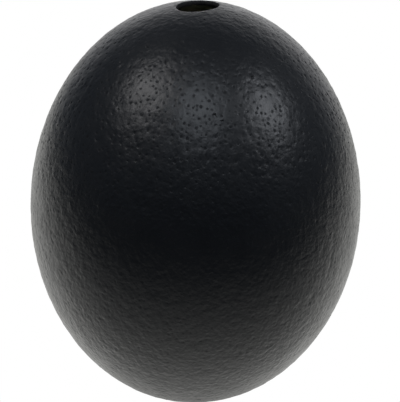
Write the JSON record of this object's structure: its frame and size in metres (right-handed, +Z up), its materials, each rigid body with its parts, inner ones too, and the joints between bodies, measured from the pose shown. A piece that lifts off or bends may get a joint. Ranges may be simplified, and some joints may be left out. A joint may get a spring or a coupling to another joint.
{
  "type": "ostrich egg",
  "caption": "Blown ostrich egg: hollow pored shell painted satin black, open at the top where it was emptied, standing upright on a small flat spot.",
  "frame": {"origin": "centre of the flat spot that the egg stands on", "axes": "+Z up along the egg's long axis, towards the hole; -Y towards the viewer, +X to the viewer's right"},
  "size_m": [0.125, 0.125, 0.1538],
  "materials": {
    "painted_shell": "natural calcite eggshell with satin black paint outside, bare cream inside"
  },
  "bodies": {
    "root": {"eggshell": "painted_shell"}
  },
  "joints": []
}
